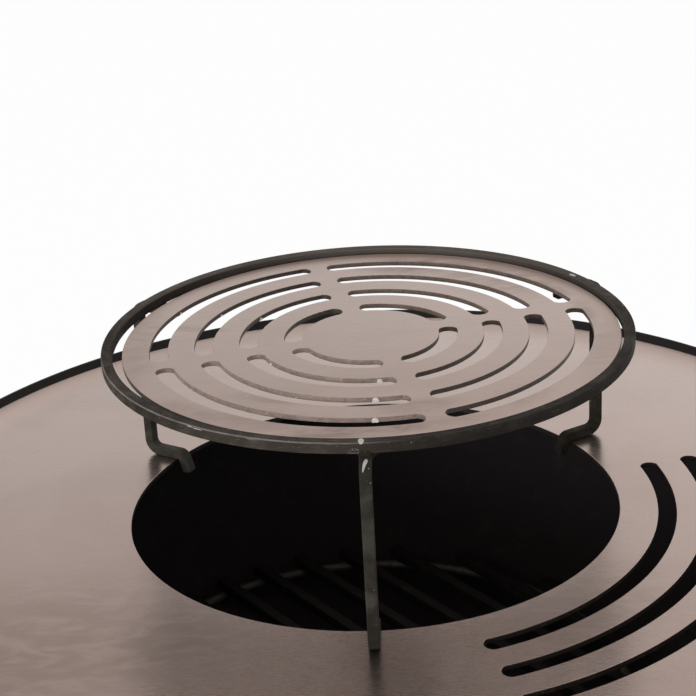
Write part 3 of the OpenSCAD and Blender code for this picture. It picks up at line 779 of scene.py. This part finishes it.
class GRILL_OT_disc(bpy.types.Operator):
    """Build the slotted grate disc"""

    bl_idname = "grill.disc"
    bl_label = "Grate disc"

    def tab_stubs(self, middle):
        """Painted glints: near-white half rounds on the slots' walls, where highlights fall."""
        size = sizes()
        bm = bmesh.new()
        for row, side, angle, radius in GLINT_STUBS:
            wall = size.disc_slot_first + row * size.disc_slot_step + side * size.disc_slot_width / 2
            made = bmesh.ops.create_cone(
                bm, cap_ends=True, segments=24, radius1=radius * MM, radius2=0.8 * radius * MM,
                depth=0.9 * MM)["verts"]
            low = DISC_LOW.z + 0.35 * radius * MM
            place = turned_at((middle.x, middle.y, low), math.radians(angle))
            place = place @ Matrix.Translation((wall, 0, 0)) @ Matrix.Rotation(-side * QUARTER, 4, "Y")
            bmesh.ops.transform(bm, matrix=place, verts=made)
        cut = bmesh.ops.bisect_plane(
            bm, geom=bm.verts[:] + bm.edges[:] + bm.faces[:], plane_co=(0, 0, DISC_LOW.z + 0.1 * MM),
            plane_no=(0, 0, -1), clear_outer=True)["geom_cut"]
        bmesh.ops.holes_fill(bm, edges=[e for e in cut if isinstance(e, bmesh.types.BMEdge)], sides=0)
        add_piece(bm, "disc_tab_stubs", "disc", "bare_spot")

    def execute(self, context):
        size = sizes()
        middle = Vector((DISC_MIDDLE.x, DISC_MIDDLE.y, 0))
        outlines = [circle_points(middle, DISC_RADIUS)]
        for i in range(size.disc_rings):
            for quarter in range(4):
                outlines.append(slot_points(
                    middle, size.disc_slot_first + i * size.disc_slot_step, size.disc_slot_width,
                    size.slot_turn + quarter * QUARTER, size.disc_rib / 2, size.slot_nose))
        bm = cut_sheet("disc", outlines, DISC_LOW.z, DISC_HIGH.z, size.sheet_round)

        def wall_look(face):
            """Dark outer edge and lower lips; each quarter's slot walls carry painted light and shade: lit
            at the front left, half lit at the back right, shaded at the back left and front right.
            """
            if not is_wall(face):
                return None
            place = face.calc_center_median() - middle
            if place.xy.length > DISC_RADIUS - 2 * MM or place.z < DISC_LOW.z + size.sheet_round:
                return "cut_edge"
            quarter = math.floor((math.atan2(place.y, place.x) - size.slot_turn) / QUARTER)
            return ("slot_brown", "slot_scale", "slot_wall", "slot_scale")[quarter % 4]

        add_piece(bm, "disc_sheet", "disc", "disc_steel", ("grate_disc",), SHEET_SHARP, wall_look)
        self.tab_stubs(middle)
        return {"FINISHED"}


class GRILL_OT_stand(bpy.types.Operator):
    """Build the grill stand: the ring, the three bent legs and their welds"""

    bl_idname = "grill.stand"
    bl_label = "Grill stand"

    def leg(self, node, place, look):
        """A leg: tab under the ring, standing bar, foot on the plate and hook in the fire hole."""
        size = sizes()
        half = BAR / 2
        top = RING_LOW.z - half
        bend_r = size.leg_bend + half
        pivot = RING_RADIUS + size.leg_out + half - bend_r
        knee = PLATE_HIGH.z + half + bend_r
        nip = size.hook_play / 2
        toe = size.hole_radius - size.hook_play + nip
        tab = RING_RADIUS - BAR - size.leg_tab
        lean = size.hook_lean
        run = (size.hook_drop - nip) * math.cos(lean)
        bm = bmesh.new()
        face = rounded_section(bm, (-half, -half), (half, half), size.bar_round)
        bmesh.ops.transform(bm, matrix=turned_at((tab, 0, top), QUARTER), verts=bm.verts)
        face = straight(bm, face, (pivot - tab, 0, 0))
        face = bend(bm, face, (pivot, 0, top - bend_r), (0, 1, 0), QUARTER)
        face = straight(bm, face, (0, 0, knee - (top - bend_r)))
        face = bend(bm, face, (pivot, 0, knee), (0, 1, 0), QUARTER)
        face = straight(bm, face, (toe - pivot, 0, 0))
        face = bend(bm, face, (toe, 0, PLATE_HIGH.z - nip), (0, -1, 0), QUARTER - lean)
        straight(bm, face, (-run * math.sin(lean), 0, -run * math.cos(lean)))
        bmesh.ops.transform(bm, matrix=place, verts=bm.verts)
        add_piece(bm, node + "_bar", "stand", look, (node,))

    def welds(self, bm, place):
        """The fillets on both sides of a leg's tab under the ring, and the one in front of the ring."""
        rounding = sizes().bar_round
        inner = RING_RADIUS - BAR + rounding
        for side, width, height in FLANK_WELDS:
            flank = Matrix((
                (0, 1, 0, inner), (side, 0, 0, side * BAR / 2), (0, 0, 1, RING_LOW.z), (0, 0, 0, 1)))
            weld_fillet(bm, place @ flank, BAR - 1.5 * rounding, width * MM, height * MM)
        front = Matrix((
            (1, 0, 0, RING_RADIUS), (0, 1, 0, -BAR / 2 + 0.5 * rounding), (0, 0, -1, RING_LOW.z),
            (0, 0, 0, 1)))
        width, height = FRONT_WELD
        weld_fillet(bm, place @ front, BAR - rounding, width * MM, height * MM)

    def bright_drop(self, place):
        """A pale drop that runs down over the front leg's upper bend, a painted highlight."""
        size = sizes()
        sunk = -0.3
        shoulder = 0.6
        bend_r = size.leg_bend + BAR
        pivot = RING_RADIUS + size.leg_out - size.leg_bend
        bm = bmesh.new()
        rows = []
        for degrees, off, half, high in DROP_ROWS:
            angle = math.radians(max(degrees, 0))
            lead = min(degrees, 0) * MM
            row = []
            for side, lift in (
                    (-1, sunk), (-shoulder, 0.7 * high), (0, high), (shoulder, 0.7 * high), (1, sunk)):
                out = bend_r + lift * MM
                row.append(bm.verts.new(place @ Vector((
                    pivot + lead + out * math.sin(angle), (off + side * half) * MM,
                    RING_LOW.z - bend_r + out * math.cos(angle)))))
            rows.append(row)
        for upper, lower in zip(rows, rows[1:]):
            for i in range(len(upper)):
                bm.faces.new((upper[i - 1], upper[i], lower[i], lower[i - 1]))
        bm.faces.new(rows[0])
        bm.faces.new(rows[-1])
        add_piece(bm, "leg_bright_drop", "stand", "dressed_weld", sharp=DROP_SHARP)

    def execute(self, context):
        bm = bmesh.new()
        middle = Vector((RING_MIDDLE.x, 0, 0))
        hoop(bm, middle, RING_RADIUS - BAR, RING_RADIUS, RING_LOW.z, RING_HIGH.z, sizes().bar_round,
             RING_STEPS)
        add_piece(bm, "stand_hoop", "stand", "ring_steel", ("stand_ring",))
        welds = bmesh.new()
        for node, (degrees, look) in LEGS.items():
            place = turned_at(middle, math.radians(degrees))
            self.leg(node, place, look)
            self.welds(welds, place)
        add_piece(welds, "stand_weld_beads", "stand", "leg_steel", ("stand_welds",))
        self.bright_drop(turned_at(middle, math.radians(LEGS["stand_leg_front"][0])))
        return {"FINISHED"}


class GRILL_OT_charcoal_grate(bpy.types.Operator):
    """Build the charcoal grate: a rod ring under square bars"""

    bl_idname = "grill.charcoal_grate"
    bl_label = "Charcoal grate"

    def execute(self, context):
        size = sizes()
        middle = (ROD_LOW + ROD_HIGH) / 2
        rod = (ROD_HIGH.z - ROD_LOW.z) / 2
        radius = (ROD_HIGH.x - ROD_LOW.x) / 2 - rod
        bm = bmesh.new()
        section = Matrix.Translation(middle + Vector((radius, 0, 0))) @ Matrix.Rotation(QUARTER, 4, "X")
        bmesh.ops.create_circle(bm, segments=20, radius=rod, matrix=section)
        spin_round(bm, middle, ROD_STEPS)
        # Ash and a painted highlight on the rod ring
        add_piece(bm, "charcoal_rod_ring", "charcoal_grate", "ashy_rod", ("charcoal_grate_ring",))
        bar = BARS_HIGH.z - BARS_LOW.z
        reach = radius + size.grate_over
        count = math.floor((reach - bar) / size.grate_step)
        turned = turned_at((middle.x, middle.y, BARS_LOW.z + bar / 2), size.grate_turn)
        bm = bmesh.new()
        for i in range(-count, count + 1):
            half = math.sqrt(reach ** 2 - (i * size.grate_step) ** 2)
            place = turned @ Matrix.Translation((0, i * size.grate_step, 0))
            bmesh.ops.create_cube(bm, size=1, matrix=place @ Matrix.Diagonal((2 * half, bar, bar, 1)))
        round_off(bm, bm.edges[:], size.bar_round, 3)
        add_piece(bm, "charcoal_bars", "charcoal_grate", "sooty_steel", ("charcoal_grate_bars",))
        return {"FINISHED"}


class GRILL_OT_bowl(bpy.types.Operator):
    """Build the fire bowl with its flange, handles, ledges, ash chute and pan rails"""

    bl_idname = "grill.bowl"
    bl_label = "Fire bowl"

    def shell(self):
        """The dished wall, from the chute's hole to the mouth."""
        size = sizes()
        dish = (size.bowl_mouth ** 2 + size.bowl_depth ** 2) / (2 * size.bowl_depth)
        centre = BOWL_TOP - size.bowl_depth + dish

        def wall(radius):
            """Points of one face of the wall."""
            low = math.asin(size.chute_radius / radius)
            high = math.acos((centre - BOWL_TOP) / radius)
            return [(radius * math.sin(a), centre - radius * math.cos(a)) for a in (
                low + (high - low) * i / WALL_STEPS for i in range(WALL_STEPS + 1))]

        def inside_look(face):
            """The fire has dulled the paint inside."""
            return "burnt_paint" if face.normal.xy.dot(face.calc_center_median().xy) < 0 else None

        bm = bmesh.new()
        profile = wall(dish) + wall(dish + size.bowl_wall)[::-1]
        verts = [bm.verts.new((x, 0, z)) for x, z in profile]
        for first, second in zip(verts, verts[1:] + verts[:1]):
            bm.edges.new((first, second))
        spin_round(bm, ORIGIN, RING_STEPS)
        add_piece(bm, "bowl_shell", "bowl", "black_paint", ("fire_bowl",), wall_look=inside_look)

    def execute(self, context):
        size = sizes()
        self.shell()
        bm = bmesh.new()
        hoop(bm, ORIGIN, size.bowl_mouth, (FLANGE_HIGH.x - FLANGE_LOW.x) / 2, FLANGE_LOW.z, FLANGE_HIGH.z,
             size.flange_round, FLANGE_STEPS)
        add_piece(bm, "bowl_mouth_flange", "bowl", "black_paint", ("bowl_flange",))
        dress("bowl", "mill_steel", "bowl_handle_right", "bowl_handle_left", "pan_rail_right",
              "pan_rail_left", "grate_ledges")
        dress("bowl", "black_paint", "ash_chute", "chute_plate")
        return {"FINISHED"}


class GRILL_OT_damper(bpy.types.Operator):
    """Build the damper with its spindle, screws, lever and knob"""

    bl_idname = "grill.damper"
    bl_label = "Damper"

    def execute(self, context):
        dress("damper", "mill_steel", "damper_disc", "damper_lever", rounding=0.5 * MM)
        dress("damper", "bright_steel", "damper_spindle", "damper_screws", rounding=0.4 * MM)
        dress("damper", "knob_plastic", "lever_knob")
        return {"FINISHED"}


class GRILL_OT_pan(bpy.types.Operator):
    """Build the ash pan and its handle"""

    bl_idname = "grill.pan"
    bl_label = "Ash pan"

    def execute(self, context):
        dress("pan", "black_paint", "ash_pan", rounding=0.6 * MM)
        dress("pan", "bright_steel", "pan_handle", rounding=0.4 * MM)
        return {"FINISHED"}


class GRILL_OT_base(bpy.types.Operator):
    """Build the base: two rings, four tube legs, their fasteners and feet"""

    bl_idname = "grill.base"
    bl_label = "Base"

    def execute(self, context):
        dress("base", "black_paint", "cradle_ring", "brace_ring", "leg_caps")
        for corner in ("back_right", "back_left", "front_left", "front_right"):
            dress("base", "black_paint", "base_leg_" + corner, rounding=1.5 * MM, segments=3)
            dress("leveller_" + corner, "bright_steel", "foot_" + corner)
        dress("base", "bright_steel", "foot_plugs", "lock_nuts", "frame_bolts", "frame_washers",
              "frame_nuts", rounding=0.5 * MM)
        return {"FINISHED"}


class GRILL_OT_stage(bpy.types.Operator):
    """Set up the floor, the soft light and the camera"""

    bl_idname = "grill.stage"
    bl_label = "Stage"

    camera_place: bpy.props.FloatVectorProperty(
        name="Camera place", description="Where the camera stands", default=(-0.0174, -1.4476, 1.6435),
        subtype="TRANSLATION", unit="LENGTH")
    camera_pitch: an_angle("Camera pitch", "How far the camera looks down", 21.879)
    camera_roll: an_angle("Camera roll", "How far the camera leans", -3.145)
    camera_lens: bpy.props.FloatProperty(
        name="Lens", description="Focal length in millimetres for a 36 mm sensor", default=86.61)

    def camera(self, scene):
        data = bpy.data.cameras.new("Camera")
        data.lens = self.camera_lens
        data.sensor_width = SENSOR
        camera = add_object("Camera", data)
        turn = Matrix.Rotation(QUARTER - self.camera_pitch, 4, "X")
        turn = turn @ Matrix.Rotation(self.camera_roll, 4, "Z")
        camera.matrix_world = Matrix.Translation(self.camera_place) @ turn
        scene.camera = camera

    def lamp(self, name, place, width, power):
        data = bpy.data.lights.new(name, "AREA")
        data.shape = "DISK"
        data.size = width
        data.energy = power
        lamp = add_object(name, data)
        lamp.location = place
        lamp.rotation_euler = (LAMP_AIM - Vector(place)).to_track_quat("-Z", "Y").to_euler()

    def sky(self, scene):
        """White for the camera; for reflections and light, white low down and dimmer and warmer overhead."""
        world = bpy.data.worlds.new("Studio")
        scene.world = world
        world.use_nodes = True
        tree = world.node_tree
        tree.nodes.clear()
        direction = add_node(tree, "TexCoord").outputs["Generated"]
        parts = add_node(tree, "SeparateXYZ", {"Vector": direction}).outputs
        ramp = add_node(tree, "ValToRGB", {"Fac": parts["Z"]})
        stops = ramp.color_ramp.elements
        stops.remove(stops[1])
        for i, (place, value) in enumerate(SKY_STOPS):
            stop = stops.new(place) if i else stops[0]
            stop.position = place
            stop.color = (*value, 1)
        behind = fade(tree, parts["Y"], -0.35, 0.05)
        strength = plus(
            tree, times(tree, behind, fade(tree, parts["X"], -0.3, 0.35, 1.03, 1.26)),
            times(tree, fade(tree, behind, 0, 1, 1, 0), fade(tree, parts["X"], -0.5, 0.45, 1.15, 0.8)))
        shade = add_node(tree, "Background", {
            "Color": ramp.outputs["Color"], "Strength": strength})
        white = add_node(tree, "Background", {"Color": (1, 1, 1, 1), "Strength": 1.0})
        seen = add_node(tree, "LightPath").outputs["Is Camera Ray"]
        mix = add_node(tree, "MixShader", {0: seen, 1: shade.outputs[0], 2: white.outputs[0]})
        add_node(tree, "OutputWorld", {"Surface": mix.outputs[0]})

    def floor(self):
        """A pale floor, in part its own white, so that it keeps the grill's shadow but no dark far edge."""
        bm = bmesh.new()
        bmesh.ops.create_circle(bm, cap_ends=True, segments=96, radius=FLOOR_RADIUS)
        mesh = bpy.data.meshes.new("Floor")
        bm.to_mesh(mesh)
        bm.free()
        floor = add_object("Floor", mesh)
        material, tree, shader, place = start_material("studio_floor")
        fill(tree, shader, {"Base Color": colours().floor, "Roughness": 0.9})
        rays = add_node(tree, "LightPath").outputs
        seen = combined(tree, "MAXIMUM", (rays["Is Camera Ray"], rays["Is Glossy Ray"]))
        share = times(tree, seen, fade(tree, distance(tree, place), 0.9, 2.6, 0.55, 0.97))
        white = add_node(tree, "Emission", {"Color": (1, 1, 1, 1), "Strength": 1.0})
        mix = add_node(tree, "MixShader", {0: share, 1: shader.outputs[0], 2: white.outputs[0]})
        fill(tree, tree.nodes["Material Output"], {"Surface": mix.outputs[0]})
        mesh.materials.append(material)

    def execute(self, context):
        scene = context.scene
        scene.view_settings.view_transform = "Standard"
        self.camera(scene)
        self.sky(scene)
        self.floor()
        for lamp in LAMPS:
            self.lamp(*lamp)
        return {"FINISHED"}


class GRILL_PT_panel(bpy.types.Panel):
    """Buttons for the grill's pieces and its stage"""

    bl_idname = "GRILL_PT_panel"
    bl_label = "Fire bowl grill"
    bl_space_type = "VIEW_3D"
    bl_region_type = "UI"
    bl_category = "Grill"

    def draw(self, context):
        for operator in OPERATORS:
            self.layout.operator(operator.bl_idname)
        for group in (context.scene.grill_sizes, context.scene.grill_colours):
            for name in group.bl_rna.properties.keys():
                if name not in ("rna_type", "name"):
                    self.layout.prop(group, name)


OPERATORS = (
    GRILL_OT_stage, GRILL_OT_griddle, GRILL_OT_disc, GRILL_OT_stand, GRILL_OT_charcoal_grate, GRILL_OT_bowl,
    GRILL_OT_damper, GRILL_OT_pan, GRILL_OT_base,
)
CLASSES = (GrillSizes, GrillColours, *OPERATORS, GRILL_PT_panel)


def register():
    for item in CLASSES:
        bpy.utils.register_class(item)
    bpy.types.Scene.grill_sizes = bpy.props.PointerProperty(type=GrillSizes)
    bpy.types.Scene.grill_colours = bpy.props.PointerProperty(type=GrillColours)


def unregister():
    del bpy.types.Scene.grill_colours
    del bpy.types.Scene.grill_sizes
    for item in reversed(CLASSES):
        bpy.utils.unregister_class(item)


def main():
    register()
    bpy.ops.grill.stage()
    bpy.ops.grill.griddle()
    bpy.ops.grill.disc()
    bpy.ops.grill.stand()
    bpy.ops.grill.charcoal_grate()
    bpy.ops.grill.bowl()
    bpy.ops.grill.damper()
    bpy.ops.grill.pan()
    bpy.ops.grill.base()
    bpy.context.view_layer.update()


if __name__ == "__main__":
    main()
